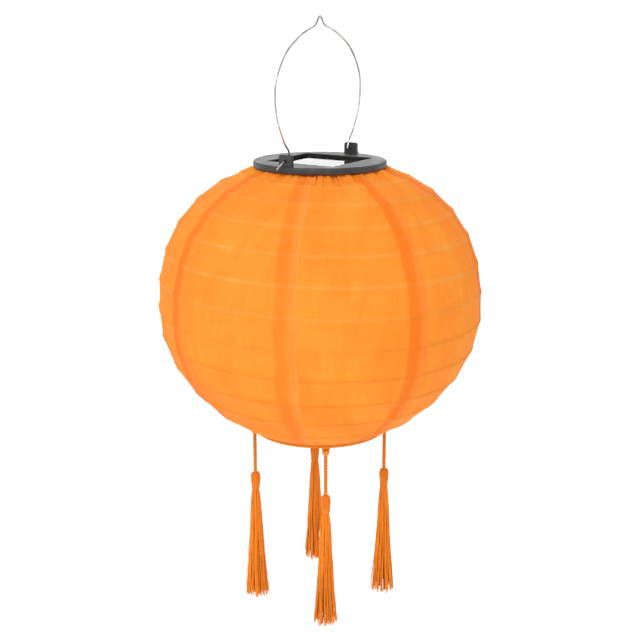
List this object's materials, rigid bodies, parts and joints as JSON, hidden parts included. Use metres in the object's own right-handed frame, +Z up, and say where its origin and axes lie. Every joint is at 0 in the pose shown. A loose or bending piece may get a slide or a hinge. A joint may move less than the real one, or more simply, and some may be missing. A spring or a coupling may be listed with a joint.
{
  "type": "solar fabric lantern",
  "caption": "Round orange fabric lantern on a spiral wire, with a solar lamp cap, a bent wire handle and tassels on short cords; it hangs by its handle.",
  "frame": {"origin": "the point under the peak of the wire handle where a hook carries the lantern", "axes": "+Z up along the lantern's axis; X along the line through the two lugs, so the handle lies in the XZ plane"},
  "size_m": [0.2546, 0.2546, 0.4744],
  "materials": {
    "black_plastic": "satin moulded",
    "steel_wire": "drawn wire",
    "silicon": "dark cells",
    "clear_epoxy": "clear, glossy",
    "circuit_green": "solder mask",
    "orange_nylon": "thin woven, lets light through",
    "tassel_silk": "silky thread",
    "frosted_plastic": "frosted",
    "battery_wrapper": "shrink sleeve",
    "nickel_plate": "bright plated",
    "red_lead": "insulated wire"
  },
  "bodies": {
    "handle": {"wire_handle": "steel_wire"},
    "lantern": {"solar_cap": "black_plastic", "panel_window": "clear_epoxy", "solar_cells": "silicon", "panel_board": "circuit_green", "lamp_housing": "black_plastic", "lamp_diffuser": "frosted_plastic", "battery_door": "black_plastic", "battery_cell": "battery_wrapper", "battery_spring": "nickel_plate", "contact_plate_plus": "nickel_plate", "contact_plate_minus": "nickel_plate", "circuit_board": "circuit_green", "board_screw_1": "steel_wire", "board_screw_2": "steel_wire", "led": "clear_epoxy", "switch_body": "nickel_plate", "panel_lead_plus": "red_lead", "panel_lead_minus": "black_plastic", "door_screw": "steel_wire", "housing_screw_1": "steel_wire", "housing_screw_2": "steel_wire", "housing_screw_3": "steel_wire", "housing_screw_4": "steel_wire", "top_ring": "steel_wire", "spiral_rib": "steel_wire", "spreader_leg_1": "steel_wire", "spreader_leg_2": "steel_wire", "shade_gore_1": "orange_nylon", "shade_gore_2": "orange_nylon", "shade_gore_3": "orange_nylon", "shade_gore_4": "orange_nylon", "shade_gore_5": "orange_nylon", "shade_gore_6": "orange_nylon", "shade_gore_7": "orange_nylon", "shade_gore_8": "orange_nylon"},
    "switch": {"switch_knob": "black_plastic"},
    "shade_foot": {"bottom_ring": "steel_wire"},
    "tassel_1": {"cord_knot_1": "tassel_silk", "tassel_cord_1": "tassel_silk", "tassel_head_1": "tassel_silk", "tassel_skirt_1": "tassel_silk"},
    "tassel_2": {"cord_knot_2": "tassel_silk", "tassel_cord_2": "tassel_silk", "tassel_head_2": "tassel_silk", "tassel_skirt_2": "tassel_silk"},
    "tassel_3": {"cord_knot_3": "tassel_silk", "tassel_cord_3": "tassel_silk", "tassel_head_3": "tassel_silk", "tassel_skirt_3": "tassel_silk"},
    "tassel_4": {"cord_knot_4": "tassel_silk", "tassel_cord_4": "tassel_silk", "tassel_head_4": "tassel_silk", "tassel_skirt_4": "tassel_silk"}
  },
  "joints": [
    {"name": "handle_swing", "type": "hinge", "parent": "handle", "child": "lantern", "pos_m": [0, 0, -0.1026], "axis": [1, 0, 0], "range_deg": [-90, 90]},
    {"name": "switch_slide", "type": "slide", "parent": "lantern", "child": "switch", "axis": [1, 0, 0], "range_m": [0, 0.003]},
    {"name": "shade_collapse", "type": "slide", "parent": "lantern", "child": "shade_foot", "axis": [0, 0, 1], "range_m": [0, 0.184], "deforming": ["shade_gore_1", "shade_gore_2", "shade_gore_3", "shade_gore_4", "shade_gore_5", "shade_gore_6", "shade_gore_7", "shade_gore_8", "spiral_rib"]},
    {"name": "tassel_swing_1", "type": "hinge", "parent": "shade_foot", "child": "tassel_1", "pos_m": [0.04285, 0.0317, -0.32166], "axis": [0.5948, -0.8039, 0], "range_deg": [-14, 70]},
    {"name": "tassel_swing_2", "type": "hinge", "parent": "shade_foot", "child": "tassel_2", "pos_m": [-0.0317, 0.04285, -0.32166], "axis": [0.8039, 0.5948, 0], "range_deg": [-14, 70]},
    {"name": "tassel_swing_3", "type": "hinge", "parent": "shade_foot", "child": "tassel_3", "pos_m": [-0.04285, -0.0317, -0.32166], "axis": [-0.5948, 0.8039, 0], "range_deg": [-14, 70]},
    {"name": "tassel_swing_4", "type": "hinge", "parent": "shade_foot", "child": "tassel_4", "pos_m": [0.0317, -0.04285, -0.32166], "axis": [-0.8039, -0.5948, 0], "range_deg": [-14, 70]}
  ]
}
